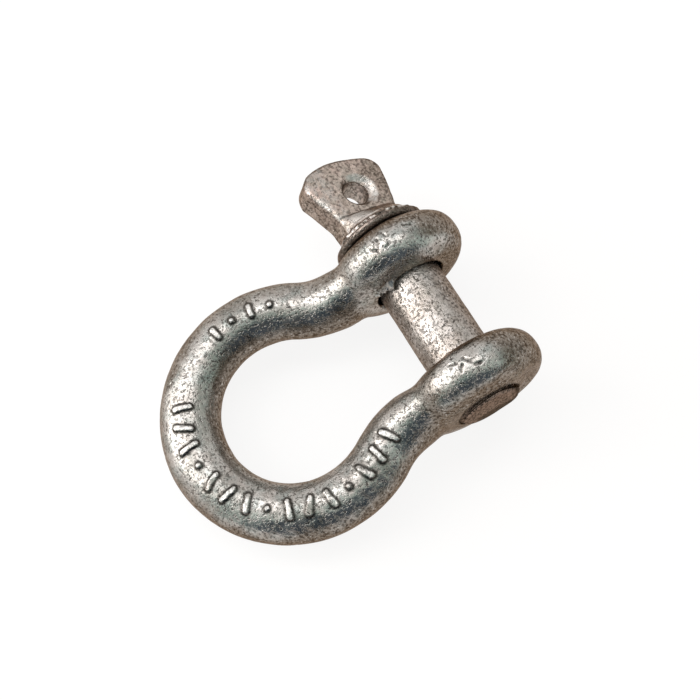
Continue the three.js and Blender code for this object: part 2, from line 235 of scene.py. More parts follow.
def placed(place, right, up, back):
    """A matrix for something that looks from a place, with back pointing away from what it looks at."""
    return Matrix.Translation(place) @ Matrix((right, up, back)).transposed().to_4x4()


camera_data = bpy.data.cameras.new("camera")
camera_data.sensor_width = 36
camera_data.lens = LENS
camera_data.clip_start = 0.01
camera_data.clip_end = 20
camera = bpy.data.objects.new("camera", camera_data)
camera.matrix_world = placed(CAMERA_PLACE, RIGHT, UP, BACK)
bpy.context.scene.collection.objects.link(camera)
bpy.context.scene.camera = camera


# Mesh helpers
def new_mesh(name, points, faces):
    mesh = bpy.data.meshes.new(name)
    mesh.from_pydata([tuple(p) for p in points], [], [tuple(f) for f in faces])
    mesh.validate()
    return mesh


def new_object(name, mesh):
    made = bpy.data.objects.new(name, mesh)
    bpy.context.scene.collection.objects.link(made)
    return made


def remove(*objects):
    for gone in objects:
        bpy.data.objects.remove(gone)


def modified(source, kind, **settings):
    """The object's mesh after one modifier, which is taken off again."""
    modifier = source.modifiers.new("step", kind)
    for key, value in settings.items():
        setattr(modifier, key, value)
    graph = bpy.context.evaluated_depsgraph_get()
    mesh = bpy.data.meshes.new_from_object(source.evaluated_get(graph))
    source.modifiers.remove(modifier)
    source.data = mesh
    return mesh


def points_of(mesh):
    flat = np.empty(len(mesh.vertices) * 3)
    mesh.vertices.foreach_get("co", flat)
    return flat.reshape(-1, 3)


def set_points(mesh, points):
    mesh.vertices.foreach_set("co", np.asarray(points, float).ravel())
    mesh.update()


def normals_of(mesh):
    flat = np.empty(len(mesh.vertices) * 3)
    mesh.vertex_normals.foreach_get("vector", flat)
    return flat.reshape(-1, 3)


def lofted(rings):
    """Points and faces of a closed skin over rings with the same count, with a fan at each end."""
    rings = [np.asarray(ring, float) for ring in rings]
    count = len(rings[0])
    points = np.vstack([*rings, rings[0].mean(0)[None], rings[-1].mean(0)[None]])
    faces = []
    for i in range(len(rings) - 1):
        low, high = i * count, (i + 1) * count
        for j in range(count):
            k = (j + 1) % count
            faces.append((low + j, low + k, high + k, high + j))
    first, last = len(rings) * count, len(rings) * count + 1
    top = (len(rings) - 1) * count
    for j in range(count):
        k = (j + 1) % count
        faces.append((first, k, j))
        faces.append((last, top + j, top + k))
    return points, faces


def turned(profile, segments=128):
    """A body of revolution about X from [x, radius] pairs, whose first and last radius are 0."""
    turn = 2 * np.pi * np.arange(segments) / segments
    rings = [
        np.stack([np.full(segments, x), radius * np.cos(turn), radius * np.sin(turn)], 1)
        for x, radius in profile
        if radius > 0
    ]
    return lofted(rings)


def outward(name, points, faces):
    """An object from points and faces, with its faces turned outwards."""
    made = new_object(name, new_mesh(name, points, faces))
    mesh = made.data
    mesh.calc_loop_triangles()
    triangles = np.empty(len(mesh.loop_triangles) * 3, int)
    mesh.loop_triangles.foreach_get("vertices", triangles)
    a, b, c = points_of(mesh)[triangles.reshape(-1, 3)].transpose(1, 0, 2)
    if (a * np.cross(b, c)).sum() < 0:
        mesh.flip_normals()
    return made


def joined(name, objects):
    """One object from several, as separate shells in one mesh."""
    points, faces, start = [], [], 0
    for source in objects:
        points.append(points_of(source.data))
        faces += [tuple(start + v for v in face.vertices) for face in source.data.polygons]
        start += len(source.data.vertices)
    made = new_object(name, new_mesh(name, np.vstack(points), faces))
    remove(*objects)
    return made


def cut(target, cutter):
    modified(target, "BOOLEAN", operation="DIFFERENCE", solver="MANIFOLD", object=cutter)
    remove(cutter)


def kept_inside(target, trim):
    """Cuts off all of the target that lies outside another object."""
    modified(target, "BOOLEAN", operation="INTERSECT", solver="MANIFOLD", object=trim)
    remove(trim)


def relaxed(mesh, weight, rounds, give=0.5, back=0.0):
    """Moves each vertex towards the middle of its neighbours, and back again by the second share."""
    points = points_of(mesh)
    edges = np.empty(len(mesh.edges) * 2, int)
    mesh.edges.foreach_get("vertices", edges)
    edges = edges.reshape(-1, 2)
    if np.ndim(weight):
        used = (weight[edges[:, 0]] > 1e-3) | (weight[edges[:, 1]] > 1e-3)
        edges = edges[used]
    one = np.concatenate([edges[:, 0], edges[:, 1]])
    other = np.concatenate([edges[:, 1], edges[:, 0]])
    count = np.maximum(np.bincount(one, minlength=len(points)), 1)[:, None]
    moving = np.bincount(one, minlength=len(points)) > 0
    weight = np.broadcast_to(np.asarray(weight, float), (len(points),))[:, None] * moving[:, None]
    for _ in range(rounds):
        for share in (give, -back):
            if not share:
                continue
            total = np.stack([np.bincount(one, points[other, k], len(points)) for k in range(3)], 1)
            points = points + share * weight * (total / count - points)
    set_points(mesh, points)


# Seeded value noise, smooth and repeatable
NOISE_CELLS = 64
NOISE_SHIFT = np.array([17.3, 5.1, 29.7])
noise_lattice = np.random.default_rng(7).random((NOISE_CELLS, NOISE_CELLS, NOISE_CELLS))


def noise(points, size, seed=0):
    """Noise from -1 to 1 whose features are about size millimetres across."""
    place = points / size + NOISE_SHIFT * (seed + 1)
    base = np.floor(place).astype(int)
    part = place - base
    part = part * part * (3 - 2 * part)
    total = np.zeros(len(points))
    for corner in range(8):
        step = np.array([corner & 1, corner >> 1 & 1, corner >> 2 & 1])
        share = np.prod(np.where(step, part, 1 - part), axis=1)
        i, j, k = ((base + step) % NOISE_CELLS).T
        total += share * noise_lattice[i, j, k]
    return 2 * total - 1


def roughened(made, amounts, where=None):
    """Moves the skin along its normals by noise, given as (size, height, seed) in millimetres."""
    points, normals = points_of(made.data), normals_of(made.data)
    height = sum(amount * noise(points, size, seed) for size, amount, seed in amounts)
    if where is not None:
        height = height * where(points)
    set_points(made.data, points + normals * height[:, None])


def threaded(name, start, end, minor, major, segments=72):
    """A right-handed thread about X, trimmed square at start and end."""
    # the profile's corners, each with its share of the pitch
    edges = [[0.07, minor], [0.38, major], [0.62, major], [0.93, minor]]
    turns = math.ceil((end - start) / THREAD_PITCH) + 2
    first = math.floor(start / THREAD_PITCH) - 1
    rows = turns * len(edges)
    points = []
    for row in range(rows + 1):
        share, radius = edges[row % len(edges)]
        turn = first + row // len(edges)
        for j in range(segments):
            angle = 2 * math.pi * j / segments
            x = THREAD_PITCH * (turn + share + j / segments)
            points.append((x, -radius * math.sin(angle), radius * math.cos(angle)))

    def at(row, j):
        return row * segments + j if j < segments else (row + len(edges)) * segments

    faces = []
    for row in range(rows):
        for j in range(segments):
            if j == segments - 1 and row + 1 + len(edges) > rows:
                continue
            faces.append((at(row, j), at(row, j + 1), at(row + 1, j + 1)))
            faces.append((at(row, j), at(row + 1, j + 1), at(row + 1, j)))
    low = [at(0, j) for j in range(segments + 1)] + [at(k, 0) for k in range(len(edges) - 1, 0, -1)]
    high = [at(rows, j) for j in range(segments - 1, -1, -1)]
    high += [at(rows - k, segments - 1) for k in range(len(edges), 0, -1)]
    for rim, turn in ((low, first), (high, first + turns)):
        points.append((THREAD_PITCH * (turn + 0.5), 0, 0))
        for k, corner in enumerate(rim):
            faces.append((len(points) - 1, rim[(k + 1) % len(rim)], corner))
    made = outward(name, points, faces)
    kept_inside(made, outward("trim", *turned([[start, major + 1], [end, major + 1]], 64)))
    return made


# Centreline of the bar, from the crown's apex along one leg to its end
bend_reach = ear_middle + NECK_RADIUS
leg_top = CROWN_CENTRE - math.sqrt((CROWN_RADIUS + NECK_RADIUS) ** 2 - bend_reach**2)
bend_angle = math.atan2(CROWN_CENTRE - leg_top, bend_reach)
crown_length = CROWN_RADIUS * (math.pi / 2 + bend_angle)
bend_length = NECK_RADIUS * bend_angle
leg_length = crown_length + bend_length + leg_top - LEG_END


def bar_at(side, along):
    """A point of the centreline at a length from the apex, and the direction out of the loop there."""
    if along <= crown_length:
        angle = along / CROWN_RADIUS
        out = np.array([side * math.sin(angle), math.cos(angle), 0])
        return np.array([0, CROWN_CENTRE, 0]) + CROWN_RADIUS * out, out
    if along <= crown_length + bend_length:
        left = bend_angle - (along - crown_length) / NECK_RADIUS
        out = np.array([side * math.cos(left), -math.sin(left), 0])
        return np.array([side * bend_reach, leg_top, 0]) - NECK_RADIUS * out, out
    down = along - crown_length - bend_length
    return np.array([side * ear_middle, leg_top - down, 0]), np.array([side, 0.0, 0.0])


def bar_size(along):
    """Half the bar's width across the loop and half its height, at a length from the apex."""
    quarter = CROWN_RADIUS * math.pi / 2
    share = min(along / quarter, 1)
    half = (BAR_AT_CROWN + (BAR_AT_SIDES - BAR_AT_CROWN) * share) / 2
    if along <= crown_length:
        return half, half
    height = bar_at(1, along)[0][1]
    flatten = fading(height, 0.55 * ear_radius, 1.05 * ear_radius)
    flare = fading(height, 0.55 * ear_radius, 1.5 * ear_radius)
    thin = min(half, EAR_THICKNESS / 2 - 0.3)
    return half + (thin - half) * flatten, half + (EAR_FLARE - half) * flare


def bar_solid():
    steps = math.ceil(leg_length / BAR_STEP)
    turn = 2 * np.pi * np.arange(96)[:, None] / 96
    upright = np.array([0, 0, 1.0])
    rings = []
    for i in range(-steps, steps + 1):
        along = abs(i) * leg_length / steps
        centre, out = bar_at(-1 if i < 0 else 1, along)
        across, up = bar_size(along)
        rings.append(centre + across * np.cos(turn) * out + up * np.sin(turn) * upright)
    return outward("bar", *lofted(rings))


def ear_solid(side):
    profile = [[side * (ear_middle - EAR_THICKNESS / 2), 0]]
    for angle in np.linspace(-math.pi / 2, math.pi / 2, 49):
        x = EAR_THICKNESS / 2 * math.copysign(abs(math.sin(angle)) ** EAR_ROUNDNESS, angle)
        rim = EAR_RIM * max(math.cos(angle), 0) ** EAR_ROUNDNESS
        profile.append([side * (ear_middle + x), ear_flat + rim])
    profile.append([side * (ear_middle + EAR_THICKNESS / 2), 0])
    return outward("ear", *turned(profile, 160))


def bar_places(points):
    """For points near the bar: signed length along its centreline, and turn round it from the outer side."""
    tree = KDTree(PLACES_ALONG_BAR)
    steps = np.linspace(-leg_length, leg_length, PLACES_ALONG_BAR)
    centres = [bar_at(-1 if s < 0 else 1, abs(s)) for s in steps]
    for i, (centre, _) in enumerate(centres):
        tree.insert(Vector(centre), i)
    tree.balance()
    along = np.empty(len(points))
    turn = np.empty(len(points))
    for i, p in enumerate(points):
        k = tree.find((p[0], p[1], 0))[1]
        centre, out = centres[k]
        forward = np.array([out[1], -out[0], 0])
        offset = p - centre
        along[i] = steps[k] + offset @ forward
        turn[i] = math.atan2(p[2], offset @ out)
    return along, turn


# Raised marks, bars and dots
def mark_rows():
    """Place along the bar, length and lean of each raised mark."""
    rows = []
    for i in range(LONG_ROW_MARKS):
        dot = i % 4 == 3
        length = MARK_WIDTH if dot else MARK_LENGTH
        lean = 0 if dot else math.radians(MARK_LEANS[i % 2])
        rows.append((LONG_ROW_START - i * MARK_SPACING, length, lean))
    for i in range(SHORT_ROW_MARKS):
        length = MARK_WIDTH if i % 2 else SHORT_ROW_LENGTH
        rows.append((SHORT_ROW_START + i * MARK_SPACING, length, 0))
    return rows


def mark_relief(points, along, turn):
    """Height of the raised marks at places on the bar's skin, and the share of painted shade round their
    feet.
    """
    height = np.zeros(len(along))
    foot = np.zeros(len(along))
    ragged = 0.16 * noise(points, 1.1, 31)
    for place, length, lean in mark_rows():
        across, up = bar_size(abs(place))
        s = along - place
        t = (turn - math.pi / 2) * (across + up) / 2
        near = (abs(s) < MARK_LENGTH) & (abs(t) < MARK_LENGTH)
        run = s[near] * math.cos(lean) + t[near] * math.sin(lean)
        rise = -s[near] * math.sin(lean) + t[near] * math.cos(lean)
        beyond = np.maximum(abs(rise) - (length - MARK_WIDTH) / 2, 0)
        gap = np.hypot(run, beyond) - MARK_WIDTH / 2 + ragged[near]
        rubbed_down = 0.5 * smoothstep(noise(points[near], 4, 43), 0, 0.6) * fading(place, -12, 6)
        raised = MARK_HEIGHT * (1 - rubbed_down) * fading(gap, -0.3, 0.2)
        height[near] = np.maximum(height[near], raised)
        foot[near] = np.maximum(foot[near], smoothstep(gap, -0.4, 0) * fading(gap, 0.35, 0.9))
    return height, foot


def marks_on_top(points, normals):
    """What mark_relief says, worked out only for the upper side of the loop."""
    top = (points[:, 1] > LOOP_START) & (normals[:, 2] > 0.2)
    height, foot = np.zeros(len(points)), np.zeros(len(points))
    height[top], foot[top] = mark_relief(points[top], *bar_places(points[top]))
    return height, foot


# Weathering with patina, painted shade and painted highlights, kept on the meshes for the materials to read
def painted(made, name, values):
    """Keeps a number at each vertex, for the material to read."""
    layer = made.data.attributes.new(name, "FLOAT", "POINT")
    layer.data.foreach_set("value", np.clip(values, 0, 1).astype(np.float32))


def weathered(made, painted_shade=None, wear_and_highlight=None, amount=1.0, pitted=None):
    """Browner zinc where the skin faces sideways or down, partly patina and partly painted shade, paler zinc
    painted on the side that faces the lamps, and pits, painted shade, wear and painted highlights where the
    functions say.
    """
    points, normals = points_of(made.data), normals_of(made.data)
    x, y = points[:, 0], points[:, 1]
    # Shifts the patina and its painted shade: more on the plain ear's outer face and on the ears' lower
    # halves, less on the plain ear's jaw face
    side_shift = 0.45 * smoothstep(normals[:, 0], 0.1, 0.6) * smoothstep(x, ear_middle, ear_middle + 3)
    side_shift -= 0.8 * smoothstep(-normals[:, 0], 0.3, 0.7) * (x > 0) * fading(y, 12, 20)
    side_shift += 0.45 * smoothstep(-y, 1, 12)
    # Painted shade with the patina: the skin is browner the more it faces sideways or down, standing in for
    # the darker reflections there
    side = 1 - normals[:, 2] + side_shift + 0.25 * noise(points, 6, 41) + 0.15 * noise(points, 2.5, 42)
    # Painted light: less patina, so paler zinc, where the skin faces towards the key lamps
    lit_side = smoothstep(np.maximum(normals[:, :2] @ (0.5, 0.87), normals @ (0.8, -0.47, 0.36)), 0.45, 0.85)
    lit_side *= smoothstep(y, 4, 20)
    patina_and_shade = amount * smoothstep(side, 0.10, 0.62) * (1 - 0.4 * smoothstep(side, 0.8, 1.4))
    patina_and_shade *= 1 - 0.65 * lit_side
    nothing_painted = np.zeros(len(points))
    painted(made, "patina_and_shade", patina_and_shade)
    painted(made, "pits", np.maximum(0.45 * patina_and_shade, pitted(points)) if pitted else patina_and_shade)
    painted(made, "painted_shade", painted_shade(points, normals) if painted_shade else nothing_painted)
    painted(made, "wear_and_highlight", wear_and_highlight(points, normals) if wear_and_highlight else nothing_painted)


def finished(made, sharp=35):
    """Into the frame's place, with smooth shading broken only at real edges."""
    set_points(made.data, to_row(points_of(made.data)))
    made.data.shade_smooth()
    made.data.set_sharp_from_angle(angle=math.radians(sharp))
    return made


# The bow
def ear_nicks(points):
    """Depth of the small chisel cuts on top of each ear, as a share."""
    cuts = np.zeros(len(points))
    for x, y, length, turn in EAR_NICKS:
        c, s = math.cos(math.radians(turn)), math.sin(math.radians(turn))
        run = (points[:, 0] - x) * c + (points[:, 1] - y) * s
        rise = -(points[:, 0] - x) * s + (points[:, 1] - y) * c
        gap = np.hypot(np.maximum(abs(run) - length / 2, 0), rise) + 0.15 * noise(points, 0.9, 33)
        cuts = np.maximum(cuts, fading(gap, 0.15, 0.55) * (points[:, 2] > ear_radius / 2))
    return cuts


def bore_burr(points):
    """Height of the burr at the mouth of the plain bore, as a share."""
    along = np.arctan2(points[:, 2], points[:, 1])
    burr = np.exp(-(((along - BURR_TURN) / 0.34) ** 4))
    burr *= fading(from_axis(points), bore_radius + 1.6, bore_radius + 2.4)
    burr *= (points[:, 0] > 0) * (points[:, 0] < jaw_face + 1.5)
    return burr * (0.75 + 0.5 * noise(points, 1.6, 34) + 0.3 * noise(points, 0.8, 40))


def bow_blank():
    """The bar and both ears as one skin, with the corners between them eased."""
    made = joined("bow_skin", [bar_solid(), ear_solid(1), ear_solid(-1)])
    mesh = modified(made, "REMESH", mode="VOXEL", voxel_size=BOW_VOXEL, adaptivity=0)
    relaxed(mesh, 1.0, 3, 0.5, 0.5)
    points = points_of(mesh)
    y = points[:, 1]
    corner = smoothstep(y, 3, 8) * fading(y, 24, 30) * smoothstep(from_axis(points), 12.5, 15)
    relaxed(mesh, corner, 70, 0.6)
    return made


def wear_bow(mesh):
    """Raises the marks and the burr, and sinks lumps, pits, nicks and the rim of the threaded ear."""
    points, normals = points_of(mesh), normals_of(mesh)
    along, turn = bar_places(points)
    on_bar = smoothstep(points[:, 1], LOOP_START, LOOP_START + LOOP_BLEND)
    height = mark_relief(points, along, turn)[0] * on_bar
    row = smoothstep(points[:, 2], 4, 7) * smoothstep(-along, 12, 30) * fading(-along, 58, 72) * on_bar
    height += row * (0.13 * noise(points, 1.5, 6) + 0.10 * noise(points, 2.6, 7))
    height += BURR_HEIGHT * bore_burr(points) * np.maximum(-normals[:, 0], 0)
    height -= NICK_DEPTH * ear_nicks(points)
    height += 0.10 * noise(points, 9, 1) + 0.05 * noise(points, 4, 2) + 0.02 * noise(points, 1.8, 3)
    height -= 0.10 * smoothstep(noise(points, 1.3, 4), 0.45, 0.8) * smoothstep(noise(points, 7, 5), -0.2, 0.4)
    falls = RIM_FALL * bell(from_axis(points), RIM_FALL_RADIUS, RIM_FALL_SPREAD)
    falls *= smoothstep(-points[:, 0], ear_face - 6, ear_face - 1)
    falls *= 0.25 + 0.75 * smoothstep(-0.75 * points[:, 1] - 0.65 * points[:, 2], 1, 10)
    set_points(mesh, points + normals * (height - falls)[:, None])


def plain_bore():
    """A cutter for the plain bore, with a ragged edge at the jaw and a bevel under the collar."""
    profile = [
        [jaw_face - 3, bore_radius + BORE_CHAMFER],
        [jaw_face, bore_radius + BORE_CHAMFER],
        [jaw_face + BORE_CHAMFER, bore_radius],
        [ear_face - BORE_CHAMFER, bore_radius],
        [ear_face + 1, bore_radius + 1 + BORE_CHAMFER],
    ]
    made = outward("plain_bore", *turned(profile, 160))
    roughened(made, [(1.6, 0.22, 35), (0.8, 0.1, 36)], lambda p: p[:, 0] < jaw_face + 0.1)
    return made


def nut_mouths():
    """A cutter for the relief at the jaw's end of the threaded bore and the bevel at its outer end."""
    profile = [
        [-jaw_face + 1, pin_radius + RELIEF_CLEARANCE],
        [-jaw_face - RELIEF_DEPTH, pin_radius + RELIEF_CLEARANCE],
        [-jaw_face - RELIEF_DEPTH - 1.2, nut_minor],
        [-ear_face + (nut_major - nut_minor), nut_minor],
        [-ear_face, nut_major],
        [-ear_face - 1, nut_major + 1],
    ]
    return outward("mouths", *turned(profile))


def bow_shade(points, normals):
    """Painted shade round the feet of the marks, in the nicks, in the gaps at the mouths of the bores and
    under the collar.
    """
    x, reach = points[:, 0], from_axis(points)
    mouth = fading(reach, bore_radius + 0.3, bore_radius + 0.8)
    mouth = np.where(x < -ear_middle, fading(reach, nut_major, nut_major + 0.3), mouth)
    under_collar = (x > ear_middle) * fading(reach, rim_radius - 0.8, rim_radius + 0.4)
    bores = np.maximum(mouth, under_collar) * (points[:, 1] < 12)
    return np.max([marks_on_top(points, normals)[1], 0.8 * ear_nicks(points), bores], axis=0)


def bow_wear_and_highlight(points, normals):
    """Bare worn zinc and a painted highlight on top of the marks, and a painted highlight on the burr."""
    height = marks_on_top(points, normals)[0]
    return np.maximum(0.7 * smoothstep(height / MARK_HEIGHT, 0.7, 1), 0.9 * bore_burr(points))


def bow_pitted(points):
    """More pits on the ears' outer sides and ends."""
    x, y = points[:, 0], points[:, 1]
    outer = smoothstep(x, ear_middle - 3, ear_middle + 1) + smoothstep(-y, 3, 10)
    return fading(y, 10, 24) * np.minimum(outer, 1) * (0.75 + 0.4 * noise(points, 3, 39))


def bow():
    made = bow_blank()
    wear_bow(made.data)
    cut(made, plain_bore())
    cut(made, threaded("nut_thread", -ear_face - 5, -jaw_face - RELIEF_DEPTH, nut_minor, nut_major))
    cut(made, nut_mouths())
    weathered(made, bow_shade, bow_wear_and_highlight, pitted=bow_pitted)
    return finished(made)


# The pin
def pin_shank():
    end = collar_face - SEAM
    first = thread_seam + SHANK_CHAMFER
    xs = [thread_seam, thread_seam + SHANK_CHAMFER / 2, *np.arange(first, end, SHANK_STEP), end]
    profile = [[x, pin_radius - max(0, first - x)] for x in xs]
    made = outward("shank_skin", *turned(profile, 170))

    def between_ends(points):
        x = points[:, 0]
        return smoothstep(x, thread_seam + 1, thread_seam + 3) * fading(x, end - 2, end - 1)

    roughened(made, [(6, 0.05, 11), (2.2, 0.03, 12), (1.1, 0.02, 13)], between_ends)
    weathered(made, amount=0.8)
    return finished(made)


def slant_end(mesh):
    """Sets the pin's end a little out of square, prouder on the side away from the loop."""
    points = points_of(mesh)
    x, y = points[:, 0], points[:, 1]
    slant = smoothstep(-y, 2, 9.5) * fading(x, pin_end + 0.6, pin_end + 2.2)
    set_points(mesh, points - PIN_END_SLANT * slant[:, None] * (1, 0, 0))


def thread_shade(points, normals):
    """Painted shade, darker towards the lower edge of the pin's end, and in the gap between it and the ear.
    """
    x, y, z = points.T
    ragged = 0.9 * noise(points, 2.5, 37) + 0.5 * noise(points, 1.2, 48)
    low = smoothstep(ragged - z, 1.2, 3.2) * smoothstep(-y, -6, -3)
    low = 0.9 * np.maximum(low, smoothstep(ragged - y, 6.3, 7.6))
    gap = smoothstep(from_axis(points), thread_major - 0.3, thread_major)
    gap *= smoothstep(x, pin_end + 0.8, pin_end + 1.2)
    return np.maximum(low, gap) * (x < pin_end + 2)


def pin_thread():
    start = thread_seam - SEAM
    made = threaded("thread_skin", pin_end - 1, start + 1, thread_minor, thread_major + 0.01)
    dome = [[pin_end + PIN_END_DOME * r * r, r] for r in np.arange(0.5, 7.6, 0.5)]
    profile = [
        *dome,
        [pin_end + 0.14, thread_major - PIN_END_CHAMFER - 0.25],
        [pin_end + 0.25, thread_major - PIN_END_CHAMFER],
        [pin_end + PIN_END_CHAMFER, thread_major],
        [start - THREAD_DEPTH, thread_major],
        [start, thread_minor],
    ]
    kept_inside(made, outward("trim", *turned(profile, 72)))
    slant_end(made.data)
    weathered(made, thread_shade)
    return finished(made)


# The pin's head
def arc(centre, radius, start, end, count):
    angles = np.linspace(start, end, count)
    return [(centre[0] + radius * math.cos(a), centre[1] + radius * math.sin(a)) for a in angles]


def curve(a, control, b, count):
    """Points from a to b on a curve that is drawn towards the control point."""
    t = np.linspace(0, 1, count)[:, None]
    a, control, b = (np.array(p, float) for p in (a, control, b))
    return [tuple(p) for p in (1 - t) ** 2 * a + 2 * t * (1 - t) * control + t**2 * b]


def paddle_side(half, corner, waist_half, swell):
    """Width and height from the ear's face, from the paddle's foot up to the end of one top corner."""
    slope, side_slope = math.radians(PADDLE_TOP_SLOPE), math.radians(PADDLE_SIDE_SLOPE)
    end_width = half - corner + corner * math.sin(slope)
    corner_height = PADDLE_LENGTH - end_width * math.tan(slope) / 2 - corner * math.cos(slope)
    side_top = (
        half - corner + corner * math.cos(side_slope),
        corner_height - corner * math.sin(side_slope),
    )
    bulge = ((waist_half + side_top[0]) / 2 + swell, (WAIST_HEIGHT + side_top[1]) / 2)
    foot = COLLAR_STAND + COLLAR_THICKNESS / 2
    side = [(waist_half, y) for y in np.linspace(foot, WAIST_HEIGHT, 8)[:-1]]
    side += curve((waist_half, WAIST_HEIGHT), bulge, side_top, 16)[:-1]
    return side + arc((half - corner, corner_height), corner, -side_slope, math.pi / 2 - slope, 16)


def paddle_outline():
    """Width and height from the ear's face, round the paddle, whose two sides aren't forged quite alike."""
    half, half_waist = PADDLE_WIDTH / 2, PADDLE_WAIST / 2
    right = paddle_side(half, PADDLE_CORNER + 1.2, half_waist - 0.6, -0.4)
    left = paddle_side(half - 0.35, PADDLE_CORNER, half_waist, 0.6)
    left = [(-x, y - 0.2) for x, y in reversed(left)]
    crest = right[-1][1] + 0.8 * right[-1][0] * math.tan(math.radians(PADDLE_TOP_SLOPE))
    top = curve(right[-1], (2, crest), left[0], 30)[1:-1]
    bottom = [(x, right[0][1]) for x in np.linspace(left[-1][0], right[0][0], 14)[1:-1]]
    return np.array([*right, *top, *left, *bottom])


def inset(outline, amount):
    """The outline with each point moved inwards, square to its neighbours."""
    before, after = np.roll(outline, 1, 0), np.roll(outline, -1, 0)
    along = after - before
    along /= np.linalg.norm(along, axis=1)[:, None]
    return outline + amount * np.stack([-along[:, 1], along[:, 0]], 1)


def section(x, shift, half_width, half_height, squareness, count=72):
    """One ring round the neck, from a circle at squareness 2 towards a rounded box."""
    angle = 2 * np.pi * np.arange(count) / count
    c, s = np.cos(angle), np.sin(angle)
    across = shift + half_width * np.sign(c) * abs(c) ** (2 / squareness)
    up = half_height * np.sign(s) * abs(s) ** (2 / squareness)
    return np.stack([np.full(count, x), across, up], 1)


def standing(name, profile, x, y):
    """A body of revolution that stands on the paddle's plate, from [height, radius] pairs."""
    points, faces = turned(profile, 96)
    return outward(name, np.stack([points[:, 1] + x, points[:, 2] + y, points[:, 0]], 1), faces)


def paddle_plate():
    """The plate with its rounded edges and its eye, before it is turned about the pin."""
    outline = paddle_outline()
    lean = math.radians(PADDLE_LEAN)
    angles = np.linspace(0, math.pi / 2, 5)
    edge = [(PADDLE_EDGE * (1 - math.sin(a)), PADDLE_EDGE * (1 - math.cos(a))) for a in angles]
    layers = [(depth - half_plate, amount) for depth, amount in reversed(edge)]
    layers += [(half_plate - depth, amount) for depth, amount in edge]
    rings = []
    for up, amount in layers:
        across, height = inset(outline, amount).T
        out = ear_face + height - shoulder_top
        x = out * math.cos(lean) - across * math.sin(lean) + shoulder_top
        y = out * math.sin(lean) + across * math.cos(lean) + PADDLE_OFFSET
        rings.append(np.stack([x, y, np.full(len(x), up)], 1))
    plate = outward("plate", *lofted(rings))
    dish_profile = [
        [half_plate - DISH_DEPTH, 1],
        [half_plate - DISH_DEPTH, eye_radius],
        [half_plate + 1, eye_radius + DISH_FLARE],
    ]
    eye_profile = [
        [-half_plate - 1, eye_radius + 0.6],
        [-half_plate + 0.3, eye_radius - 0.45],
        [0, eye_radius - 0.25],
        [half_plate - 0.5, eye_radius],
        [half_plate + 1, eye_radius + 0.4],
    ]
    x, y = ear_face + EYE_HEIGHT, EYE_OFFSET
    dish = standing("dish", dish_profile, x + DISH_SHIFT[0], y + DISH_SHIFT[1])
    roughened(dish, [(2.2, 0.3, 44), (1.1, 0.12, 45)])
    cut(plate, dish)
    cut(plate, standing("eye", eye_profile, x, y))
    return plate


def pin_neck():
    """The blend from the round shoulder to the paddle's waist, wider than it is thick."""
    top, half_waist = SHOULDER_DIAMETER / 2, PADDLE_WAIST / 2
    rise = waist - shoulder_top
    at_waist = PADDLE_OFFSET - 0.3
    sections = [
        (collar_top - 0.3, 0, top + 0.2, top + 0.2, 2),
        (collar_top + COLLAR_SHOULDER * 0.45, 0, top * 0.99, top * 0.99, 2),
        (shoulder_top - rise * 0.15, 0.2 * PADDLE_OFFSET, top * 0.97, top * 0.94, 2.1),
        (shoulder_top + rise * 0.27, 0.6 * PADDLE_OFFSET - 0.1, half_waist * 1.02, half_plate * 1.95, 2.3),
        (shoulder_top + rise * 0.65, 0.9 * PADDLE_OFFSET - 0.25, half_waist * 0.995, half_plate * 1.58, 2.7),
        (waist - 0.4, at_waist, half_waist * 0.985, half_plate * 1.34, 3),
        (waist, at_waist, half_waist * 0.98, half_plate * 1.2, 3.2),
        (waist + rise * 0.14, at_waist, half_waist * 0.95, half_plate * 0.9, 3.2),
    ]
    return outward("neck", *lofted([section(*row) for row in sections]))


def pin_collar():
    """The collar, with a low ring of zinc round its top."""
    profile = [[collar_face + x, rim_radius - drop] for x, drop in COLLAR_FACE]
    profile += [[collar_top + x, rim_radius - drop] for x, drop in COLLAR_TOP]
    profile.append([shoulder_top, SHOULDER_DIAMETER / 2])
    return outward("collar", *turned(profile, 160))


def bead(points):
    """The share of the ragged bead of zinc that runs round the top of the collar."""
    on_rim = from_axis(points) > rim_radius - 3.0
    return bell(points[:, 0], collar_top + BEAD_PLACE, BEAD_SPREAD) * on_rim


def head_shade(points, normals):
    """Painted shade in the bead's hollows, under the collar, along its edge and in its groove, on the plate's
    far rim away from the lamps, and in a line across the plate's face at its waist.
    """
    x = points[:, 0]
    streak = bead(points) * smoothstep(noise(points, 0.85, 26), 0.0, 0.15)
    under = fading(x, collar_face + 0.2, collar_face + 0.9)
    edge = fading(x + 0.5 * noise(points, 2.5, 28), collar_top - 0.3, collar_top + 0.4)
    groove = bell(x, collar_top + 0.6, 0.35) * (noise(points, 1.5, 29) > -0.4)
    facing = normals @ about_pin
    out, across, up = (points @ about_pin).T
    far = np.maximum(-facing[:, 1], facing[:, 0] * (out > waist + 8))
    rim = smoothstep(far, 0.12, 0.5) * smoothstep(up, 0, half_plate - 1.6) * (out > waist + 1)
    rim *= 0.7 + 0.3 * noise(points, 1.5, 38)
    ledge = bell(out, waist + 0.35, 0.35) * (abs(up - half_plate - 0.1) < 0.5) * smoothstep(across, -4, 1)
    return np.max([0.95 * streak, 0.9 * under, 0.62 * edge, 0.7 * groove, 0.8 * rim, 0.85 * ledge], axis=0)


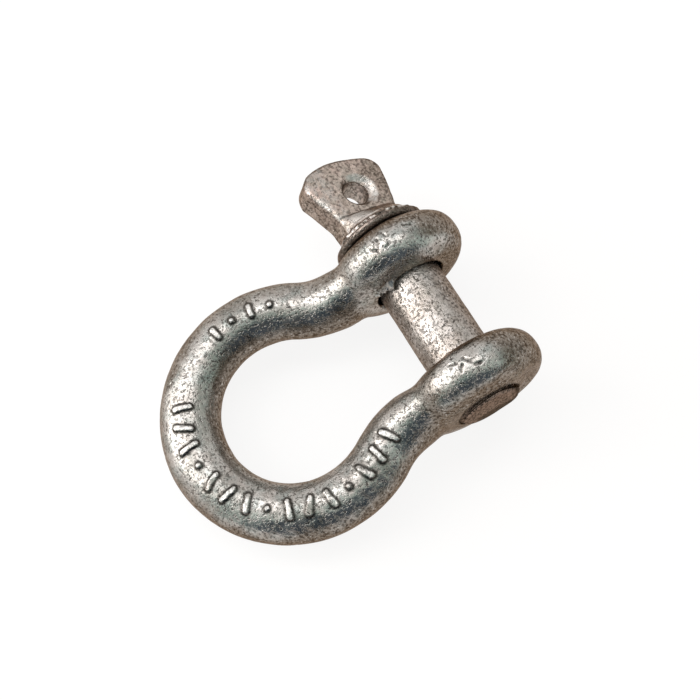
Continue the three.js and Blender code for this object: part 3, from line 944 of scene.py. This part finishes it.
def head_highlight(points, normals):
    """Painted highlights on the eye's lip, the plate's edge, the bead's tops, the side of the neck and a
    little on the eye's wall.
    """
    out, across, up = (points @ about_pin).T
    x, y = out - ear_face - EYE_HEIGHT, across - EYE_OFFSET
    ragged = 0.5 * noise(points, 1.4, 46)
    lip = fading(np.hypot(x, y + 0.9) + ragged, eye_radius + 0.9, eye_radius + 2.1)
    lip *= 0.75 + 0.4 * noise(points, 1.0, 47)
    lip *= smoothstep(up, half_plate - 1.5, half_plate - 1.0) * smoothstep(0.3 * x - y, 0, 2)
    ridge = smoothstep(noise(points, 1.0, 27), -0.35, 0.3) * bell(up, half_plate - 0.5, 0.6)
    ridge *= smoothstep(across, 6.5, 8.5)
    streak = bead(points) * smoothstep(-noise(points, 0.85, 26), 0.0, 0.15)
    neck_side = smoothstep(points[:, 0], collar_top + 2.0, collar_top + 2.8) * (out < waist)
    neck_side *= smoothstep(across, 1, 5) * fading(across, 8, 10) * (normals[:, 2] > 0.3)
    wall = fading(np.hypot(x, y), eye_radius - 0.1, eye_radius + 0.3)
    wall *= fading(up, half_plate - 2.0, half_plate - 1.4)
    return np.max([lip, 0.7 * ridge, 0.75 * streak, 0.2 * wall, 0.75 * neck_side], axis=0)


def pin_head():
    plate, neck = paddle_plate(), pin_neck()
    for part in (plate, neck):
        set_points(part.data, points_of(part.data) @ about_pin.T)
    made = joined("head_skin", [plate, neck, pin_collar()])
    mesh = modified(made, "REMESH", mode="VOXEL", voxel_size=HEAD_VOXEL, adaptivity=0)
    relaxed(mesh, 1.0, 4, 0.5, 0.3)
    roughened(made, [(7, 0.08, 21), (3, 0.08, 22), (1.4, 0.045, 23)])
    roughened(made, [(1.5, BEAD_ROUGHNESS, 24), (0.8, BEAD_ROUGHNESS, 25)], bead)
    weathered(made, head_shade, head_highlight, 0.8)
    return finished(made, 60)


# Materials
class Nodes:
    """Builds a node tree with few words."""

    def __init__(self, tree):
        self.tree = tree

    def add(self, kind, **settings):
        node = self.tree.nodes.new(kind)
        for key, value in settings.items():
            setattr(node, key, value)
        return node

    def link(self, source, target):
        self.tree.links.new(source, target)

    def share(self, name):
        """A number painted on the mesh."""
        return self.add("ShaderNodeAttribute", attribute_name=name).outputs["Fac"]

    def cloud(self, place, scale, detail, roughness=0.5):
        """Soft noise round 0.5, with scale in features per metre."""
        node = self.add("ShaderNodeTexNoise")
        self.link(place, node.inputs["Vector"])
        for name, value in (("Scale", scale), ("Detail", detail), ("Roughness", roughness)):
            node.inputs[name].default_value = value
        return node.outputs["Fac"]

    def ramp(self, value, stops):
        node = self.add("ShaderNodeValToRGB")
        band = node.color_ramp
        while len(band.elements) > 1:
            band.elements.remove(band.elements[-1])
        for i, (at, color) in enumerate(stops):
            element = band.elements[0] if i == 0 else band.elements.new(at)
            element.position = at
            element.color = (*color, 1) if len(np.shape(color)) else (color, color, color, 1)
        self.link(value, node.inputs["Fac"])
        return node.outputs["Color"]

    def mix(self, share, a, b, blend="MIX"):
        node = self.add("ShaderNodeMix", data_type="RGBA", blend_type=blend)
        for name, value in (("Factor", share), ("A", a), ("B", b)):
            target = next(s for s in node.inputs if s.name == name and s.enabled)
            if isinstance(value, bpy.types.NodeSocket):
                self.link(value, target)
            elif name == "Factor":
                target.default_value = value
            else:
                target.default_value = (*value, 1)
        return next(s for s in node.outputs if s.enabled)

    def times(self, a, b):
        return self.mix(1.0, a, b, "MULTIPLY")

    def lighter(self, a, b):
        return self.mix(1.0, a, b, "LIGHTEN")

    def math(self, operation, a, b=0.0, clamp=False):
        node = self.add("ShaderNodeMath", operation=operation, use_clamp=clamp)
        for target, value in zip(node.inputs, (a, b)):
            if isinstance(value, bpy.types.NodeSocket):
                self.link(value, target)
            else:
                target.default_value = value
        return node.outputs[0]

    def bump(self, height, distance, normal=None):
        node = self.add("ShaderNodeBump")
        node.inputs["Distance"].default_value = distance
        self.link(height, node.inputs["Height"])
        if normal is not None:
            self.link(normal, node.inputs["Normal"])
        return node.outputs["Normal"]


FLECK_COLOR = (0.045, 0.036, 0.03)
# Colour of bare worn zinc and of the painted highlights
WEAR_AND_HIGHLIGHT_COLOR = (0.74, 0.72, 0.69)
# Colour of the painted shade
SHADE_COLOR = (0.04, 0.035, 0.03)
EDGE_TINT = (0.55, 0.45, 0.38, 1)


def zinc(name, bright, dull, patina_and_shade, tint, warm, rough, fleck=0.8, finer=1.0, grainy=1.0, mottled=0.1):
    """Galvanised steel: bright and dull zinc, brown patina that is partly painted shade, dark flecks where it
    is pitted, painted shade, and wear with painted highlights.
    """
    material = bpy.data.materials.new(name)
    material.use_nodes = True
    shader = material.node_tree.nodes["Principled BSDF"]
    n = Nodes(material.node_tree)
    place = n.add("ShaderNodeTexCoord").outputs["Object"]
    scaled = n.add("ShaderNodeVectorMath", operation="SCALE")
    n.link(place, scaled.inputs[0])
    scaled.inputs["Scale"].default_value = finer
    close = scaled.outputs[0]
    wear_and_highlight = n.share("wear_and_highlight")

    # noise from coarse to fine
    blotch = n.cloud(place, 95, 4, 0.6)
    hue = n.cloud(place, 260, 3, 0.6)
    mottle = n.cloud(place, 430, 4, 0.65)
    grit = n.cloud(close, 1150, 2, 0.6)
    speck = n.cloud(place, 1500, 1)
    grain = n.cloud(close, 2300, 2, 0.6)

    # zinc in two shades and two hues, under the patina and its painted shade
    color = n.mix(n.ramp(blotch, [(0.40, 0), (0.60, 1)]), dull, bright)
    color = n.mix(n.ramp(hue, [(0.50, 0), (0.66, 0.6)]), color, tint)
    color = n.mix(n.ramp(hue, [(0.36, 0.6), (0.48, 0)]), color, warm)
    # Patina, partly painted shade on the sides, where the mesh says, grainy with a paler brown
    paler = [0.85 * p + 0.25 * d for p, d in zip(patina_and_shade, dull)]
    color = n.mix(n.share("patina_and_shade"), color, n.mix(n.ramp(grit, [(0.42, 0), (0.60, 1)]), patina_and_shade, paler))
    color = n.mix(n.ramp(mottle, [(0.54, 0), (0.70, 0.35)]), color, patina_and_shade)
    color = n.times(color, n.ramp(grit, [(0.36, 1 - 2 * mottled), (0.62, 1)]))
    color = n.mix(n.ramp(speck, [(0.60, 0), (0.68, 0.55)]), color, bright)

    # dark flecks: the larger ones, fine pepper, and the pits that are painted on the mesh
    flecks = n.times(n.ramp(grit, [(0.37, 1), (0.45, 0)]), n.ramp(mottle, [(0.40, 1), (0.62, 0.25)]))
    pepper = n.times(n.ramp(grain, [(0.38, 0.85), (0.47, 0)]), n.ramp(hue, [(0.42, 0.1), (0.58, 1)]))
    pepper = n.times(pepper, n.ramp(blotch, [(0.42, 1), (0.60, 0.35)]))
    pits = n.times(n.ramp(grit, [(0.41, 0.85), (0.49, 0)]), n.share("pits"))
    flecks = n.lighter(n.lighter(flecks, pepper), pits)
    color = n.mix(n.math("MULTIPLY", flecks, fleck), color, FLECK_COLOR)

    # Bare worn zinc and painted highlights, where the mesh says
    color = n.mix(n.math("MULTIPLY", wear_and_highlight, 0.8), color, WEAR_AND_HIGHLIGHT_COLOR)
    # Painted shade in gaps, creases and hollows, under the collar and on sides away from the lamps, where the
    # mesh says
    color = n.mix(n.math("MULTIPLY", n.share("painted_shade"), 0.9), color, SHADE_COLOR)
    n.link(color, shader.inputs["Base Color"])
    roughness = n.ramp(mottle, [(0.35, rough[0]), (0.65, rough[1])])
    roughness = n.math("ADD", roughness, n.math("MULTIPLY", flecks, 0.06), clamp=True)
    roughness = n.math("ADD", roughness, n.math("MULTIPLY", wear_and_highlight, 0.15), clamp=True)
    n.link(roughness, shader.inputs["Roughness"])
    shader.inputs["Metallic"].default_value = 0.98
    shader.inputs["Specular Tint"].default_value = EDGE_TINT
    normal = n.bump(mottle, 0.00006 * grainy)
    normal = n.bump(n.ramp(grit, [(0.36, 0), (0.46, 1)]), 0.00007, normal)
    normal = n.bump(grit, 0.00005 * grainy, normal)
    normal = n.bump(grain, 0.00003 * grainy, normal)
    n.link(normal, shader.inputs["Normal"])
    return material


bow_zinc = zinc(
    "bow_zinc",
    bright=(0.59, 0.56, 0.525),
    dull=(0.38, 0.36, 0.33),
    patina_and_shade=(0.19, 0.155, 0.125),
    tint=(0.30, 0.335, 0.315),
    warm=(0.47, 0.42, 0.385),
    rough=(0.17, 0.31),
)
head_zinc = zinc(
    "head_zinc",
    bright=(0.66, 0.545, 0.475),
    dull=(0.45, 0.365, 0.31),
    patina_and_shade=(0.23, 0.175, 0.14),
    tint=(0.42, 0.38, 0.325),
    warm=(0.66, 0.51, 0.45),
    fleck=0.45,
    finer=0.9,
    rough=(0.24, 0.42),
    grainy=2.5,
    mottled=0.25,
)
shank_zinc = zinc(
    "shank_zinc",
    bright=(0.66, 0.61, 0.575),
    dull=(0.48, 0.42, 0.375),
    patina_and_shade=(0.22, 0.18, 0.15),
    tint=(0.42, 0.385, 0.34),
    warm=(0.56, 0.52, 0.49),
    finer=1.1,
    rough=(0.27, 0.43),
    grainy=1.2,
)
thread_zinc = zinc(
    "thread_zinc",
    bright=(0.50, 0.37, 0.30),
    dull=(0.33, 0.235, 0.19),
    patina_and_shade=(0.27, 0.20, 0.16),
    tint=(0.40, 0.34, 0.28),
    warm=(0.48, 0.35, 0.28),
    fleck=0.95,
    rough=(0.40, 0.58),
    grainy=3.0,
    mottled=0.2,
)

for build, node, body, material in (
    (bow, "bow", "bow", bow_zinc),
    (pin_head, "pin_head", "pin_turns", head_zinc),
    (pin_shank, "pin_shank", "pin_travels", shank_zinc),
    (pin_thread, "pin_thread", "pin_turns", thread_zinc),
):
    made = build()
    made.data.materials.clear()
    made.data.materials.append(material)
    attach(made, body)
    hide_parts(node)


# Floor, lamps and the world, in metres
FLOOR_REACH = 3
FLOOR_DROP = 0.0003
FLOOR_GREY = 0.2
FLOOR_GLOW = 0.85
LAMP_DISTANCE = 0.7
WARM_LIGHT = (1.0, 0.985, 0.97)
COOL_LIGHT = (0.98, 0.985, 1.0)
MIDDLE = Vector((-0.01, 0.0, 0.02))
WHITE = (1, 1, 1)

# Darker sides that metal meets in the white world: azimuth, elevation, inner and outer angle, and colour
DARK_SIDES = [
    (52, 26, 14, 38, (0.52, 0.56, 0.53)),
    (18, -49, 50, 80, (0.66, 0.78, 0.73)),
    (19, -54, 38, 57, (0.08, 0.105, 0.135)),
]


def pale_paper():
    """Grey paper that takes shadows, with a glow on top that only looking at it shows."""
    material = bpy.data.materials.new("floor")
    material.use_nodes = True
    n = Nodes(material.node_tree)
    paper = material.node_tree.nodes["Principled BSDF"]
    paper.inputs["Base Color"].default_value = (FLOOR_GREY, FLOOR_GREY, FLOOR_GREY, 1)
    paper.inputs["Roughness"].default_value = 0.9
    paper.inputs["Specular IOR Level"].default_value = 0.1
    path = n.add("ShaderNodeLightPath")
    seen = n.math("MAXIMUM", path.outputs["Is Camera Ray"], path.outputs["Is Glossy Ray"])
    seen = n.math("MAXIMUM", seen, path.outputs["Is Transmission Ray"])
    glow = n.add("ShaderNodeEmission")
    glow.inputs["Color"].default_value = (*WHITE, 1)
    n.link(n.math("MULTIPLY", seen, FLOOR_GLOW), glow.inputs["Strength"])
    both = n.add("ShaderNodeAddShader")
    n.link(paper.outputs[0], both.inputs[0])
    n.link(glow.outputs[0], both.inputs[1])
    n.link(both.outputs[0], material.node_tree.nodes["Material Output"].inputs["Surface"])
    return material


corners = [(x * FLOOR_REACH, y * FLOOR_REACH, -FLOOR_DROP) for x, y in ((-1, -1), (1, -1), (1, 1), (-1, 1))]
floor = outward("floor", corners, [(0, 1, 2, 3)])
floor.data.materials.append(pale_paper())


def towards(azimuth, elevation):
    """A direction from the object, turned right and up from the line to the camera."""
    a, e = math.radians(azimuth), math.radians(elevation)
    return (math.cos(e) * (math.sin(a) * RIGHT + math.cos(a) * BACK) + math.sin(e) * UP).normalized()


def lamp(name, azimuth, elevation, width, height, radiance, color):
    data = bpy.data.lights.new(name, "AREA")
    data.shape = "RECTANGLE"
    data.size, data.size_y = width, height
    data.energy = radiance * math.pi * width * height
    data.color = color
    made = bpy.data.objects.new(name, data)
    back = towards(azimuth, elevation)
    up = back.cross(RIGHT).normalized()
    made.matrix_world = placed(MIDDLE + LAMP_DISTANCE * back, up.cross(back).normalized(), up, back)
    made.visible_camera = False
    bpy.context.scene.collection.objects.link(made)


lamp("key", -60, 10, 0.54, 0.44, 2.8, WARM_LIGHT)
lamp("strip", -22, 31, 0.86, 0.20, 2.15, COOL_LIGHT)
lamp("low", -86, 6, 0.34, 0.34, 1.3, WARM_LIGHT)

world = bpy.data.worlds.new("world")
bpy.context.scene.world = world
world.use_nodes = True
n = Nodes(world.node_tree)
background = world.node_tree.nodes["Background"]
path = n.add("ShaderNodeLightPath")
direction = n.add("ShaderNodeTexCoord").outputs["Generated"]


def lobe(azimuth, elevation, inner, outer):
    """1 towards a direction, falling to 0 between two angles from it."""
    dot = n.add("ShaderNodeVectorMath", operation="DOT_PRODUCT")
    n.link(direction, dot.inputs[0])
    dot.inputs[1].default_value = towards(azimuth, elevation)
    fall = n.add("ShaderNodeMapRange", interpolation_type="SMOOTHSTEP")
    n.link(dot.outputs["Value"], fall.inputs["Value"])
    fall.inputs["From Min"].default_value = math.cos(math.radians(outer))
    fall.inputs["From Max"].default_value = math.cos(math.radians(inner))
    return fall.outputs["Result"]


# The world is white to look at, metal meets its dark sides too, and all else is lit by a dim room
room = n.mix(lobe(25, 62, 15, 40), (0.50, 0.46, 0.42), (0.72, 0.69, 0.64))
mirrored = WHITE
for *place, tone in DARK_SIDES:
    mirrored = n.mix(lobe(*place), mirrored, tone)
color = n.mix(path.outputs["Is Glossy Ray"], room, mirrored)
plain = n.math("MAXIMUM", path.outputs["Is Camera Ray"], path.outputs["Is Transmission Ray"])
n.link(n.mix(plain, color, WHITE), background.inputs["Color"])
background.inputs["Strength"].default_value = 1.0

bpy.context.scene.view_settings.view_transform = "Standard"

bpy.context.view_layer.update()
